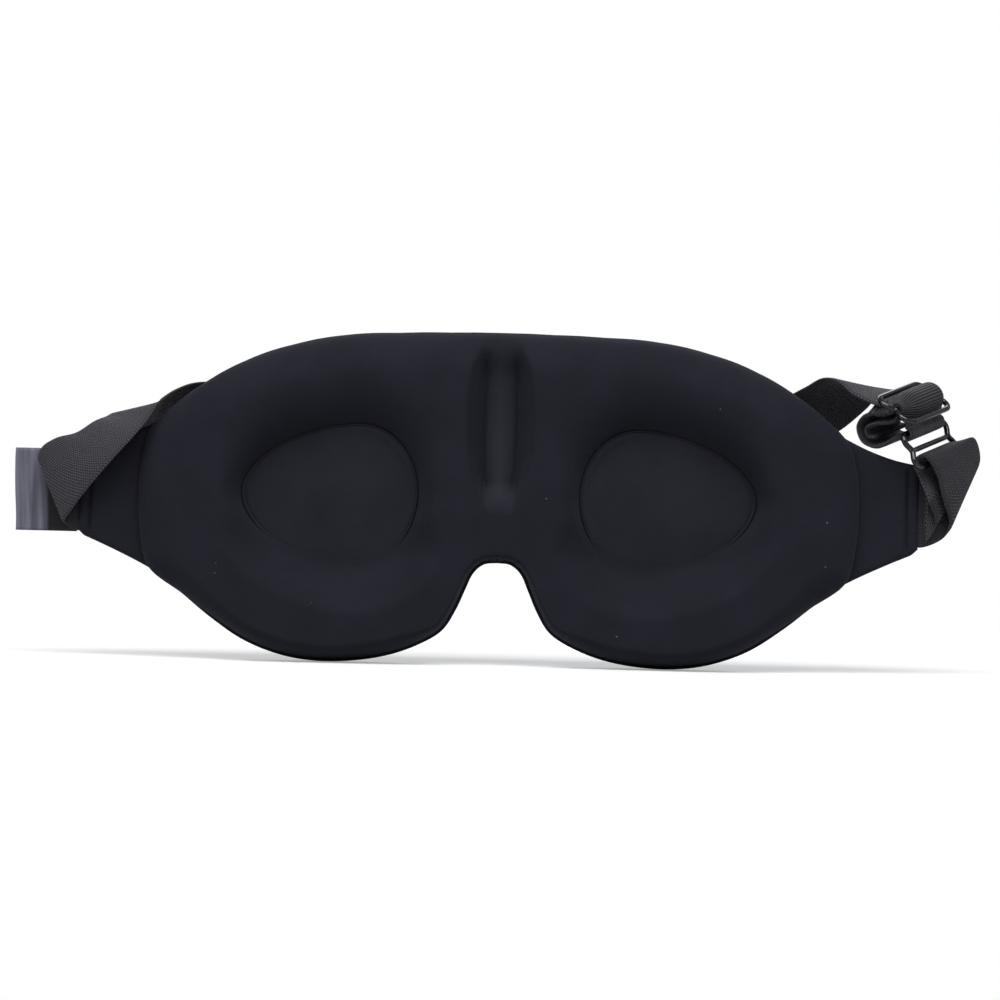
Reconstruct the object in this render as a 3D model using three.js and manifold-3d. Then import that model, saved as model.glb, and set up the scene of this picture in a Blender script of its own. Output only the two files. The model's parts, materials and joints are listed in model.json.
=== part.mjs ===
// Contoured sleep eye mask with an adjustable webbing strap.
//
// Frame: millimetres. +Z up (towards the forehead), +X towards the wearer's right, -Y towards the
// wearer's face. The origin is on the centre plane, at the height of the eye cups' centres.
// The long strap is tucked behind the mask, as it lies when the mask is put away.

import * as THREE from 'three';
import { mergeVertices } from 'three/addons/utils/BufferGeometryUtils.js';
import Module from 'manifold-3d';

const wasm = await Module();
wasm.setup();

// ---------------------------------------------------------------- driving dimensions (mm)

const GAP = 0.3; // clearance between neighbouring layers

const WING_HINGE_X = 100.8; // where the padding ends and the wing begins
const WING_END_X = 117; // centre plane to the sewn end of a wing
const BOW = 7; // how far the wing ends sweep towards the face
const RIM = 1.7; // half thickness of the pressed rim and of the wings

const PAD_HEIGHT = 12; // face-side padding above the rim
const PAD_THINNING = 0.42; // share of its height that the padding loses towards a temple
const PAD_ROUND = 12; // width of the rounding at the pad's edge
const BACK_HEIGHT = 4.5; // outer side above the rim
const BACK_ROUND = 18;
const BACK_OVAL = 1; // how far the flat oval over an eye stands out of the outer side
const COVER = 1.0; // knit cover thickness

const CUP_X = 39; // eye cup centre, where the cup is tallest
const CUP_NOSE = 16.5; // cup floor half widths, towards the nose and the temple
const CUP_TEMPLE = 33;
const CUP_TALL = 19.3;
const CUP_TAPER = 1.12; // above 1 the upper temple side is flatter than an ellipse
const CUP_WALL_ABOVE = 18; // width of the wall above a cup, and at its sides and below
const CUP_WALL_BELOW = 8;
const CUP_WALL_CURVE = 2.6; // the wall is steepest at the cup's floor
const CUP_FLOOR_Y = -5.5;
const PANEL_INSET = 0.97; // cup floor panel against the cup's edge

const GROOVE_FLOOR = 4.9; // nose groove half widths, floor and top
const GROOVE_TOP = 10.2;
const GROOVE_DEPTH = 5.5;
const GROOVE_LOW = -5.4; // lower and upper ends of the groove
const GROOVE_HIGH = 47;
const GROOVE_TAPER = 0.4; // how bluntly the groove narrows towards its two ends

const WING_LAYER = 0.8; // thickness of each of a wing's two layers
const WING_SEAM = -2.3; // ends of the curved seam, behind the hinge line
const WING_SEAM_HIGH = 16;
const WING_SEAM_LOW = -21.2;
const WING_SEAM_BULGE = 2.9;
const WING_HIGH = 10.8; // top and bottom of the sewn end
const WING_LOW = -13;
const STITCH_ROW = 3; // stitch row to the sewn end
const STITCH_WIDE = 0.8;
const STITCH_THICK = 0.4;

const FOLD_Y = 2; // fold line of the padded body, on the centre plane
const FOLD_MAX = THREE.MathUtils.degToRad(45);
const FOLD_BACK = THREE.MathUtils.degToRad(10);
const FOLD_GAP = 0.4;

const STRAP_WIDTH = 20;
const STRAP = 1.2; // webbing thickness
const BUCKLE_WEBBING = 18.6; // webbing width where it gathers inside a buckle
const WIRE_R = 1.0; // slider and ring wire radius
const BUCKLE_WIDE = 22; // between the wire centres of the buckle's sides
const BAR_PITCH = 6; // between neighbouring bars of a buckle
const BUCKLE_CORNER = 2.2; // corner radius of the loop, to the wire's centre
const BAR_SLIM = 0.96; // radius of the middle bar against the loop's wire

const LABEL_LENGTH = 17;
const LABEL_TALL = 23;
const LABEL = 0.45;
const LABEL_LOW = -12.7; // height of its lower edge

// ---------------------------------------------------------------- materials

const black = (color, roughness, metalness = 0) =>
  new THREE.MeshStandardMaterial({ color, roughness, metalness });
const knit = () => black(0x222329, 0.9);
const foam = () => black(0x2b2b2e, 0.95);
const webbing = () => black(0x333338, 0.8);
const thread = () => black(0x1d1d20, 0.7);
const satin = () => black(0x55555d, 0.4);
const coatedWire = () => black(0x0b0b0d, 0.25, 0.4);

// ---------------------------------------------------------------- solids from sections

const vec = (x, y, z) => new THREE.Vector3(x, y, z);

// Signed volume of an indexed triangle list.
function volume(points, index) {
  let sum = 0;
  for (let i = 0; i < index.length; i += 3) {
    const [a, b, c] = [points[index[i]], points[index[i + 1]], points[index[i + 2]]];
    sum += a.dot(b.clone().cross(c)) / 6;
  }
  return sum;
}

// A closed solid through matching loops of points. A ring solid joins its last loop to its first,
// and any other solid gets a fan over each end.
function loft(loops, ring = false) {
  const count = loops[0].length;
  const points = loops.flat();
  const index = [];
  const spans = ring ? loops.length : loops.length - 1;
  for (let i = 0; i < spans; i++) {
    const here = i * count;
    const next = ((i + 1) % loops.length) * count;
    for (let k = 0; k < count; k++) {
      const k1 = (k + 1) % count;
      index.push(here + k, here + k1, next + k1);
      index.push(here + k, next + k1, next + k);
    }
  }
  if (!ring) {
    const last = (loops.length - 1) * count;
    for (let k = 1; k < count - 1; k++) {
      index.push(0, k + 1, k);
      index.push(last, last + k, last + k + 1);
    }
  }
  if (volume(points, index) < 0) index.reverse();
  const geometry = new THREE.BufferGeometry().setFromPoints(points);
  geometry.setIndex(index);
  return geometry;
}

function part(name, geometry, material) {
  const mesh = new THREE.Mesh(geometry, material);
  mesh.name = name;
  geometry.computeVertexNormals();
  return mesh;
}

// ---------------------------------------------------------------- padded body

// Half outline on the +X side, from the top of the centre line round to the nose notch.
const outlineCurve = new THREE.SplineCurve([
  [0, 45.6], [24, 45.1], [44, 43.9], [60, 40.4], [72, 35.8], [82, 30], [90, 24], [97.2, 16.6],
  [99.6, 8], [100.2, -2], [99.6, -12], [97.2, -21.8],
  [88, -28.9], [80, -35.4], [70, -42], [58, -46.2], [46, -47.3], [32, -45.7], [22, -42.3],
  [15, -38], [11.2, -32], [8.8, -26.5], [6.5, -21.6], [3.6, -19.2], [0, -18.8],
].map(([x, z]) => new THREE.Vector2(x, z)));
const OUTLINE = outlineCurve.getSpacedPoints(220);

const bend = (x) => -BOW * (x / WING_END_X) ** 2;
const rise = (edge0, edge1, value) => THREE.MathUtils.smoothstep(value, edge0, edge1);

// Distance from a point to the rim of the body.
function rimDistance(x, z) {
  const here = new THREE.Vector2(Math.abs(x), z);
  return Math.min(...OUTLINE.map((p) => p.distanceTo(here)));
}

// Quarter-ellipse rounding, from 0 at the rim to 1 on the pad.
function rounding(distance, radius) {
  const inside = 1 - Math.min(distance / radius, 1);
  return Math.sqrt(1 - inside * inside);
}

// Depth of the nose groove: rounded lips that fall to a flat floor and die out at both ends.
function grooveDepth(x, z) {
  const along = THREE.MathUtils.clamp((z - GROOVE_LOW) / (GROOVE_HIGH - GROOVE_LOW), 0, 1);
  const spindle = Math.sin(Math.PI * along) ** GROOVE_TAPER;
  const climb = (Math.abs(x) - GROOVE_FLOOR * spindle) / ((GROOVE_TOP - GROOVE_FLOOR) * spindle + 0.01);
  const lip = Math.sin((THREE.MathUtils.clamp(climb, 0, 1) * Math.PI) / 2);
  const ends = rise(GROOVE_LOW, 4, z) * (1 - rise(33, 44, z));
  return GROOVE_DEPTH * (1 - lip) * ends;
}

// Face-side surface. climb goes from 0 at a cup's edge to 1 at the top of its wall.
function faceY(x, z, climb) {
  const height = PAD_HEIGHT * (1 - PAD_THINNING * rise(58, 97, Math.abs(x)));
  const pad = bend(x) - RIM - height * rounding(rimDistance(x, z), PAD_ROUND) + grooveDepth(x, z);
  return THREE.MathUtils.lerp(CUP_FLOOR_Y, pad, 1 - (1 - Math.min(climb, 1)) ** CUP_WALL_CURVE);
}

// Outer surface: a shallow crown with a flat oval over each eye.
function outerY(x, z, climb) {
  const crown = bend(x) + RIM + BACK_HEIGHT * rounding(rimDistance(x, z), BACK_ROUND);
  const flat = bend(CUP_X) + RIM + BACK_HEIGHT + BACK_OVAL;
  return THREE.MathUtils.lerp(flat, crown, rise(0, 1.25, climb));
}

// Egg-shaped cup edge at an angle about the cup's centre, blunt at the nose and tapered at the temple.
function cupEdge(angle) {
  const [cosine, sine] = [Math.cos(angle), Math.sin(angle)];
  const half = cosine < 0 ? CUP_NOSE : CUP_TEMPLE;
  const power = cosine > 0 && sine > 0 ? CUP_TAPER : 1;
  return new THREE.Vector2(
    CUP_X + half * Math.sign(cosine) * Math.abs(cosine) ** power,
    CUP_TALL * Math.sign(sine) * Math.abs(sine) ** power,
  );
}

// Width of the wall outside the cup's edge at an angle.
const cupWall = (angle) => (
  THREE.MathUtils.lerp(CUP_WALL_BELOW, CUP_WALL_ABOVE, rise(0.1, 0.9, Math.sin(angle)))
);

// Closed loop round one half: along the outline and back up the centre plane, pushed out to a cut.
const AROUND = 56;
const halfPath = new THREE.CurvePath();
OUTLINE.forEach((p, i) => halfPath.add(new THREE.LineCurve(p, OUTLINE[(i + 1) % OUTLINE.length])));
function halfLoop(cut) {
  return Array.from({ length: AROUND }, (_, k) => {
    const p = halfPath.getPointAt(k / AROUND);
    return new THREE.Vector2(Math.max(p.x, cut), p.y);
  });
}

// Loops of points between the cup's edge and the half outline, each on one surface.
const STEPS = [0, 0.1, 0.24, 0.44, 0.66, 0.85, 0.95, 1];
function surfaceLoops(side, cut, surface, offset) {
  const rim = halfLoop(cut);
  return STEPS.map((step) => rim.map((edge) => {
    const angle = Math.atan2(edge.y / CUP_TALL, (edge.x - CUP_X) / CUP_TEMPLE);
    const inner = cupEdge(angle);
    const p = inner.clone().lerp(edge, step);
    return vec(side * p.x, surface(p.x, p.y, p.distanceTo(inner) / cupWall(angle)) + offset, p.y);
  }));
}

const FRONT_CUT = FOLD_GAP + (FOLD_Y - bend(0) + RIM + PAD_HEIGHT) * Math.tan(FOLD_MAX / 2);
const BACK_CUT = FOLD_GAP + (BACK_HEIGHT + RIM - FOLD_Y) * Math.tan(FOLD_BACK / 2);

// Knit shell over the face side, open at the cup's floor.
function faceCover(side) {
  const skin = surfaceLoops(side, FRONT_CUT, faceY, 0);
  const lining = surfaceLoops(side, FRONT_CUT, faceY, COVER);
  return loft([...lining, ...skin.reverse()], true);
}

// Foam core, one loop smaller than the covers all round.
function foamCore(side) {
  const skin = COVER + GAP;
  const front = surfaceLoops(side, FRONT_CUT, faceY, skin).slice(0, -1);
  const back = surfaceLoops(side, BACK_CUT, outerY, -skin).slice(0, -1);
  return loft([...front, ...back.reverse()]);
}

function outerCover(side) {
  const lining = surfaceLoops(side, BACK_CUT, outerY, -COVER);
  const skin = surfaceLoops(side, BACK_CUT, outerY, 0);
  return loft([...skin, ...lining.reverse()]);
}

// Flat panel at the bottom of an eye cup.
function cupFloor(side) {
  const loop = (y) => Array.from({ length: AROUND }, (_, k) => {
    const edge = cupEdge((2 * Math.PI * k) / AROUND);
    return vec(side * (CUP_X + (edge.x - CUP_X) * PANEL_INSET), y, edge.y * PANEL_INSET);
  });
  return loft([loop(CUP_FLOOR_Y), loop(CUP_FLOOR_Y + COVER)]);
}

// ---------------------------------------------------------------- wings

// One layer of a wing, in the wing's own frame with its hinge line at x = 0.
function wingLayer(side, low, high) {
  const end = WING_END_X - WING_HINGE_X;
  const shape = new THREE.Shape();
  shape.moveTo(side * WING_SEAM, WING_SEAM_HIGH);
  shape.quadraticCurveTo(side * 7, 11.6, side * end, WING_HIGH);
  shape.lineTo(side * end, WING_LOW);
  shape.quadraticCurveTo(side * 5, -18, side * WING_SEAM, WING_SEAM_LOW);
  shape.quadraticCurveTo(side * WING_SEAM_BULGE, -2, side * WING_SEAM, WING_SEAM_HIGH);
  const geometry = new THREE.ExtrudeGeometry(shape, {
    depth: high - low, bevelEnabled: false, curveSegments: 10,
  });
  geometry.rotateX(Math.PI / 2);
  geometry.translate(0, high, 0);
  return geometry;
}

// Row of sewn thread across the end of a wing, laid on its face.
function wingStitching(side) {
  const row = new THREE.BoxGeometry(STITCH_WIDE, STITCH_THICK, STRAP_WIDTH - 2);
  const middle = (WING_HIGH + WING_LOW) / 2;
  row.translate(side * (WING_END_X - WING_HINGE_X - STITCH_ROW), -RIM - 0.35, middle);
  return row;
}

const SWEEP = Math.atan((2 * BOW * WING_HINGE_X) / WING_END_X ** 2);
const wingY = (x) => bend(WING_HINGE_X) - (x - WING_HINGE_X) * Math.tan(SWEEP);
function wingFrame(side) {
  const frame = new THREE.Group();
  frame.position.set(side * WING_HINGE_X, bend(WING_HINGE_X), 0);
  frame.rotation.z = -side * SWEEP;
  return frame;
}

// ---------------------------------------------------------------- webbing

// A flat band through pairs of edge points, [near edge, far edge], swept smoothly between them.
function band(pairs, thickness, segments) {
  const near = new THREE.CatmullRomCurve3(pairs.map((pair) => vec(...pair[0])), false, 'centripetal');
  const far = new THREE.CatmullRomCurve3(pairs.map((pair) => vec(...pair[1])), false, 'centripetal');
  const loops = [];
  for (let i = 0; i <= segments; i++) {
    const t = i / segments;
    const [a, b] = [near.getPoint(t), far.getPoint(t)];
    const along = near.getTangent(t).add(far.getTangent(t));
    const normal = b.clone().sub(a).cross(along).normalize().multiplyScalar(thickness / 2);
    loops.push([a.clone().add(normal), b.clone().add(normal), b.clone().sub(normal), a.clone().sub(normal)]);
  }
  return loft(loops);
}

// Left strap: sewn into the wing, folded over on a slanting crease and brought up over the wing.
const LEFT_END = [
  [[-111, wingY(111), -12.4], [-111, wingY(111), 7.6]],
  [[-114.4, wingY(114.4), -12.4], [-114.4, wingY(114.4), 7.6]],
  [[-118, wingY(118), -12.2], [-118.6, wingY(118.6), 7.8]],
  [[-120.8, -8.4, -10.4], [-127.6, -7.8, 8.2]],
  [[-119.6, -10.4, -7.6], [-128, -8.2, 10]],
  [[-113.6, -14.8, 1.4], [-124.7, -7, 13.2]],
  [[-107.4, -17.4, 10.3], [-118.4, -2.6, 16.6]],
  [[-102.8, -15.4, 16.4], [-111.8, 1.8, 19.4]],
];

// The rest of the long strap: over the wing's edge and behind the mask to the centre plane.
const LEFT_RUN = [
  [[-95.6, -10, 24], [-99.6, 9.4, 22.4]],
  [[-91, -6, 27.4], [-98.4, 11.8, 21]],
  [[-85.8, 0, 29.6], [-97, 12, 18.4]],
  [[-79, 6, 30], [-91, 14, 16]],
  [[-68, 10.4, 28], [-76, 15, 9.6]],
  [[-46, 12.6, 22], [-50, 14.6, 2.2]],
  [[-22, 13.4, 17.4], [-23, 14.8, -2.6]],
  [[-1.6, 13.6, 16], [-1.6, 14.8, -4]],
];

const RIGHT_RUN = [
  [[1.6, 13.6, 16], [1.6, 14.8, -4]],
  [[22, 13.4, 17.4], [23, 14.8, -2.6]],
  [[46, 12.6, 22], [51, 15, 2.4]],
  [[66, 10.6, 26.8], [76, 16, 9.8]],
  [[76, 7.6, 29.6], [89, 16, 16.6]],
  [[82, 3.4, 32], [95.6, 14.4, 21.6]],
];

// Arch between the strap run and the slider.
const ARCH = [
  [[88.4, -2, 35.2], [100, 13.6, 29.6]],
  [[92.4, -5.4, 35.2], [99, 13.6, 34]],
  [[96.4, -8.2, 33.2], [103.4, 10.4, 34]],
];

// ---------------------------------------------------------------- adjuster

// The bars of the ring and of the slider all lie along one direction, turned back into depth.
const BAR = vec(0.555, 0.8, 0.225).normalize();
const SLIDER_CENTRE = vec(115.4, -6, 28.9);
const SLIDER_UP = vec(-0.748, 0.363, 0.555).normalize();
const SLIDER_OUT = BAR.clone().cross(SLIDER_UP).normalize();
const RING_UP = vec(-0.468, 0.077, 0.88).normalize();
const RING_TOP = [-5.4, -4.6]; // ring's top bar in the slider's plane across the bars

// A point across the bars: distances along the slider and out of its face, at a place on the bar.
function across(up, out, along = 0) {
  return SLIDER_CENTRE.clone()
    .addScaledVector(SLIDER_UP, up)
    .addScaledVector(SLIDER_OUT, out)
    .addScaledVector(BAR, along);
}

// Webbing drawn by its path across the bars.
function bandAcross(path, segments) {
  const half = BUCKLE_WEBBING / 2;
  const pairs = path.map(([up, out]) => [across(up, out, -half).toArray(), across(up, out, half).toArray()]);
  return band(pairs, STRAP, segments);
}

// Path round a bar, from one angle to another in degrees, at the radius of a webbing layer.
const AROUND_BAR = WIRE_R + GAP + STRAP / 2;
function aroundBar([up, out], from, to, radius = AROUND_BAR) {
  const steps = 8;
  return Array.from({ length: steps + 1 }, (_, i) => {
    const angle = THREE.MathUtils.degToRad(from + ((to - from) * i) / steps);
    return [up + radius * Math.cos(angle), out + radius * Math.sin(angle)];
  });
}

function toSolid(geometry) {
  const bare = geometry.clone();
  bare.deleteAttribute('normal');
  if (bare.hasAttribute('uv')) bare.deleteAttribute('uv');
  const merged = mergeVertices(bare, 1e-5);
  return new wasm.Manifold(new wasm.Mesh({
    numProp: 3,
    vertProperties: Float32Array.from(merged.attributes.position.array),
    triVerts: Uint32Array.from(merged.index.array),
  }));
}

function toGeometry(solid) {
  const mesh = solid.getMesh();
  const geometry = new THREE.BufferGeometry();
  geometry.setAttribute('position', new THREE.BufferAttribute(mesh.vertProperties, 3));
  geometry.setIndex(new THREE.BufferAttribute(mesh.triVerts, 1));
  return geometry;
}

// An 8-shaped wire buckle: a round-cornered loop with a bar across its middle.
// Its own frame has x along the bars and z up the buckle.
function buckle() {
  const [halfWide, halfTall] = [BUCKLE_WIDE / 2, BAR_PITCH];
  const loops = [];
  const corners = [[1, 1, 0], [-1, 1, 90], [-1, -1, 180], [1, -1, 270]];
  for (const [sideX, sideZ, start] of corners) {
    for (let i = 0; i <= 4; i++) {
      const turn = THREE.MathUtils.degToRad(start + (90 * i) / 4);
      const outward = vec(Math.cos(turn), 0, Math.sin(turn));
      const centre = vec(sideX * (halfWide - BUCKLE_CORNER), 0, sideZ * (halfTall - BUCKLE_CORNER))
        .addScaledVector(outward, BUCKLE_CORNER);
      loops.push(Array.from({ length: 10 }, (_, k) => {
        const angle = (2 * Math.PI * k) / 10;
        return centre.clone()
          .addScaledVector(outward, WIRE_R * Math.cos(angle))
          .add(vec(0, WIRE_R * Math.sin(angle), 0));
      }));
    }
  }
  const bar = new THREE.CylinderGeometry(WIRE_R * BAR_SLIM, WIRE_R * BAR_SLIM, BUCKLE_WIDE, 10);
  bar.rotateZ(Math.PI / 2);
  return toGeometry(toSolid(loft(loops, true)).add(toSolid(bar)));
}

function placeBuckle(name, centre, up) {
  const mesh = part(name, buckle(), coatedWire());
  const out = up.clone().cross(BAR);
  mesh.quaternion.setFromRotationMatrix(new THREE.Matrix4().makeBasis(BAR, out, up));
  mesh.position.copy(centre);
  return mesh;
}

const ringTop = across(...RING_TOP);
const ringBottom = ringTop.clone().addScaledVector(RING_UP, -2 * BAR_PITCH);

// Short loop: from the wing out to its crease, up round the ring's bottom bar and back inside itself.
function shortLoop() {
  const halfWide = BUCKLE_WEBBING / 2;
  const out = BAR.clone().cross(RING_UP);
  const onBar = (angle, radius) => {
    const turn = THREE.MathUtils.degToRad(angle);
    const centre = ringBottom.clone()
      .addScaledVector(RING_UP, radius * Math.sin(turn))
      .addScaledVector(out, radius * Math.cos(turn));
    return [-1, 1].map((end) => centre.clone().addScaledVector(BAR, end * halfWide).toArray());
  };
  const outside = [
    [[111, wingY(111), -11.4], [111, wingY(111), 8.6]],
    [[114.4, wingY(114.4), -11.4], [114.4, wingY(114.4), 8.6]],
    [[118.4, wingY(118.4), -11.4], [119, wingY(118.4), 8.6]],
    [[124.6, -5.6, -9.4], [130.4, -3.2, 9.6]],
    [[126.4, -7.6, -5.4], [134, -1.6, 11.6]],
    [[123.6, -12.2, 2.6], [134.6, 0.2, 14.6]],
  ];
  const inside = [
    [[118.8, -12.8, 1.6], [129.6, 2.2, 12.4]],
    [[121.4, -9.4, -4.6], [130.2, -0.4, 9.6]],
    [[120, -8.8, -8.4], [124.4, -5.2, 8.6]],
    [[118.4, -9.1, -10.4], [119, -9, 8]],
  ];
  const bight = [-20, 30, 90, 150, 200].map((angle) => onBar(angle, AROUND_BAR + 0.3));
  return band([...outside, ...bight, ...inside], STRAP, 60);
}

// Bight of the long strap round the ring's top bar.
function strapBight() {
  const outer = aroundBar(RING_TOP, 70, 250);
  return bandAcross([[0.8, -4.9], [-2, -3.85], ...outer, [-4.4, -7]], 26);
}

// Long strap over the slider's middle bar and under its outer bars.
function strapOverSlider() {
  return bandAcross([
    [-3.9, -0.4], [-3.6, 1.2], [-2.9, 2.5], [-1.6, 3.4], [0, 3.7], [1.6, 3.3], [2.9, 2.2],
    [3.7, 0.2], [4.5, -1.8], [6, -2.9], [7.6, -3.3],
  ], 26);
}

// Returning end: a slack curl under the slider, sewn in an eye round its middle bar.
function strapReturn() {
  const eye = aroundBar([0, 0], 235, -55);
  return bandAcross([...eye, [2.6, -3.2], [5.4, -5], [8.6, -8], [8.4, -12], [4.4, -14.2],
    [0.4, -12.4], [-1.6, -9.6], [-2.6, -7.4]], 48);
}

// ---------------------------------------------------------------- label

// Folded label sewn in at the left wing's end.
function label() {
  const seam = -WING_END_X - 0.6;
  const middle = seam - 7;
  const tip = seam - LABEL_LENGTH;
  const path = [
    [seam, -4.6], [middle, -3.7], [tip + 1, -3.2], [tip, -2.2], [tip + 1, -1.2], [middle, -1.8], [seam, -3.6],
  ];
  const high = LABEL_LOW + LABEL_TALL;
  return band(path.map(([x, y]) => [[x, y, LABEL_LOW], [x, y, high]]), LABEL, 30);
}

// ---------------------------------------------------------------- assembly

const mask = new THREE.Group();

for (const [side, word] of [[-1, 'left'], [1, 'right']]) {
  mask.add(
    part(`face_cover_${word}`, faceCover(side), knit()),
    part(`foam_core_${word}`, foamCore(side), foam()),
    part(`outer_cover_${word}`, outerCover(side), knit()),
    part(`eye_cup_floor_${word}`, cupFloor(side), knit()),
  );
  const frame = wingFrame(side);
  frame.add(
    part(`wing_face_layer_${word}`, wingLayer(side, -RIM, -RIM + WING_LAYER), knit()),
    part(`wing_outer_layer_${word}`, wingLayer(side, RIM - WING_LAYER, RIM), knit()),
    part(`wing_stitching_${word}`, wingStitching(side), thread()),
  );
  mask.add(frame);
}

mask.add(
  part('strap_end_left', band(LEFT_END, STRAP, 30), webbing()),
  part('strap_run_left', band(LEFT_RUN, STRAP, 36), webbing()),
  part('strap_run_right', band(RIGHT_RUN, STRAP, 30), webbing()),
  part('strap_arch', band(ARCH, STRAP, 16), webbing()),
  part('short_loop', shortLoop(), webbing()),
  part('strap_bight', strapBight(), webbing()),
  part('strap_over_slider', strapOverSlider(), webbing()),
  part('strap_return', strapReturn(), webbing()),
  part('label', label(), satin()),
  placeBuckle('slider', SLIDER_CENTRE, SLIDER_UP),
  placeBuckle('ring', ringTop.clone().addScaledVector(RING_UP, -BAR_PITCH), RING_UP),
);

export default mask;
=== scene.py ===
"""Looks of a contoured sleep eye mask with an adjustable webbing strap.

Shapes are worked out in millimetres in the frame's own axes: +Z up, +X towards the wearer's right
and -Y towards the wearer's face. Meshes are stored in metres.
"""
import json
import math

import bmesh
import bpy
import numpy as np
from mathutils import Matrix, Vector
from mathutils.kdtree import KDTree


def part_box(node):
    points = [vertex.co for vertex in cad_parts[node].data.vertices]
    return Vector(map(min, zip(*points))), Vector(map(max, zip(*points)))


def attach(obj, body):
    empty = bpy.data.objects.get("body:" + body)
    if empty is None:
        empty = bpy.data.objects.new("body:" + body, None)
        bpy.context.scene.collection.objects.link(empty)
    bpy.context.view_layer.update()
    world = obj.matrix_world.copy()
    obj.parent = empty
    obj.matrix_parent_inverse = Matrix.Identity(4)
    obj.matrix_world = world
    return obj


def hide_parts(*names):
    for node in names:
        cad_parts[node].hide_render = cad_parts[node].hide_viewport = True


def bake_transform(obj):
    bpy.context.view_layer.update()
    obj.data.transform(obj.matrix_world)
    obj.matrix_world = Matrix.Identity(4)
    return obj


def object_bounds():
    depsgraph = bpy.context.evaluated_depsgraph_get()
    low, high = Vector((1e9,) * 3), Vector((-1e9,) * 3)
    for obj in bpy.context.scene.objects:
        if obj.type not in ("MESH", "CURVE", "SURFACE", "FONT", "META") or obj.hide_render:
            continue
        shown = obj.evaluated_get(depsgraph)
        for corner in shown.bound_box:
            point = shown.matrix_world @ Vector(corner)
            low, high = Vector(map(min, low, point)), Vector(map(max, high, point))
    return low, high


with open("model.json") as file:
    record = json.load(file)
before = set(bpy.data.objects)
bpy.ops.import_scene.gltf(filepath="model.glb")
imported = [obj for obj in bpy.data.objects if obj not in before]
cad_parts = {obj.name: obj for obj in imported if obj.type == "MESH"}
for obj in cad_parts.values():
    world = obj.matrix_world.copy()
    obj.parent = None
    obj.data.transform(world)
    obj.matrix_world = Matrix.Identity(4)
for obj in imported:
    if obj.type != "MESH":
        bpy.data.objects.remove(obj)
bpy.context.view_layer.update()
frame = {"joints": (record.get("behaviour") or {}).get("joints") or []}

MM = 0.001
SIDES = ((-1, "left"), (1, "right"))

# ---- sizes taken from the frame (mm)


def box_mm(node):
    """Low and high corners of a node's box."""
    return [np.array(corner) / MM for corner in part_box(node)]


JOINTS = {joint["name"]: joint for joint in frame["joints"]}


def joint_mm(name):
    """A point on a joint's axis."""
    return np.array(JOINTS[name]["pos_m"]) / MM


WING_HINGE = joint_mm("right_wing_flex")
WING_END_X = box_mm("wing_face_layer_right")[1][0]
LABEL_LOW, LABEL_HIGH = box_mm("label")
LABEL_SHINE = 8.6  # width of the label's part without painted shade, at its fold
LABEL_SHADED = LABEL_HIGH[0] - LABEL_LOW[0] - LABEL_SHINE  # width of its part darkened with painted shade, at its seam

PANEL_INSET = 0.97  # cup floor panel against the cup's edge
CUP_LOW, CUP_HIGH = box_mm("eye_cup_floor_right")
CUP_TALL = (CUP_HIGH[2] - CUP_LOW[2]) / 2 / PANEL_INSET
CUP_WIDE = (CUP_HIGH[0] - CUP_LOW[0]) / PANEL_INSET
CUP_NOSE = CUP_WIDE / 3
CUP_TEMPLE = CUP_WIDE - CUP_NOSE
CUP_X = CUP_LOW[0] + CUP_NOSE * PANEL_INSET
CUP_FLOOR_Y = CUP_LOW[1]
CUP_TAPER = 1.12  # above 1 the temple end is more pointed than an ellipse

# ---- driving dimensions (mm)

RIM = 1.7  # half thickness of the pressed rim and of the wings
PAD_HEIGHT = 12  # face-side padding above the rim
PAD_THINNING = 0.42  # share of its height that the pad loses towards a temple
PAD_ROUND = 12  # rounding of the upper edge, then of the lower edge and of the nose notch
LOWER_ROUND = 4.5
NOSE_ROUND = 1.4
WING_ROUND = 9  # tighter rounding where the pad meets a wing
FLANGE = 0.9  # flat pressed edge below the padding
BACK_HEIGHT = 4.5  # outer side above the rim
BACK_ROUND = 18
BACK_OVAL = 1  # how far the flat oval over an eye stands out of the outer side
COVER = 0.9  # thickness of a skin

# Where one shape of the padding turns into another: heights, then distances from the centre plane.
UPPER_EDGE = (-5, 26)
SOFT_WALL = (-18, -5)
NOSE_ZONE = (12, 30)
THIN_ZONE = (58, 97)
WING_ZONE = (72, 93)

CUP_WALL_ABOVE = 18  # width of the wall above a cup, at its sides and below it
CUP_WALL_SIDE = 8
CUP_WALL_BELOW = 15
CUP_WALL_CURVE = 2.6  # the wall is steepest at the cup's floor

GROOVE_FLOOR = 4.9  # nose groove half widths, floor and top
GROOVE_TOP = 10.2
GROOVE_DEPTH = 7  # at the sides of the floor
GROOVE_CROWN = 2.6  # height of the floor's middle above its sides
GROOVE_LOW = -5.4  # lower and upper ends of the groove
GROOVE_HIGH = 47
GROOVE_TAPER = 0.4  # how bluntly it narrows towards its ends
GROOVE_SHALLOW = ((GROOVE_LOW, 4), (33, 44))  # heights over which it deepens and then dies out

SWELL = 1.2  # most that the padding may swell
SWELL_VOXEL = 5
SWELL_PRESSURE = 4
SWELL_FRAMES = 20

STRAP_WIDTH = 20
STRAP = 1.2  # webbing thickness
BUCKLE_WEBBING = 19.8  # webbing width inside a buckle
WIRE_R = 0.8  # radius of the buckles' wire
BUCKLE_WIDE = 24  # between the wire centres of a buckle's sides
BUCKLE_CORNER = 0.48  # corner radius as a share of the bars' pitch
BUCKLE_SHIFT = -0.9  # of both buckles, along the bars
BAR_PITCH = 6  # between neighbouring bars of the slider, then of the ring
RING_PITCH = 5.1

# ---- meshes


def add_to_scene(thing):
    bpy.context.scene.collection.objects.link(thing)


def shade_smooth(mesh):
    mesh.polygons.foreach_set("use_smooth", [True] * len(mesh.polygons))


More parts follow.
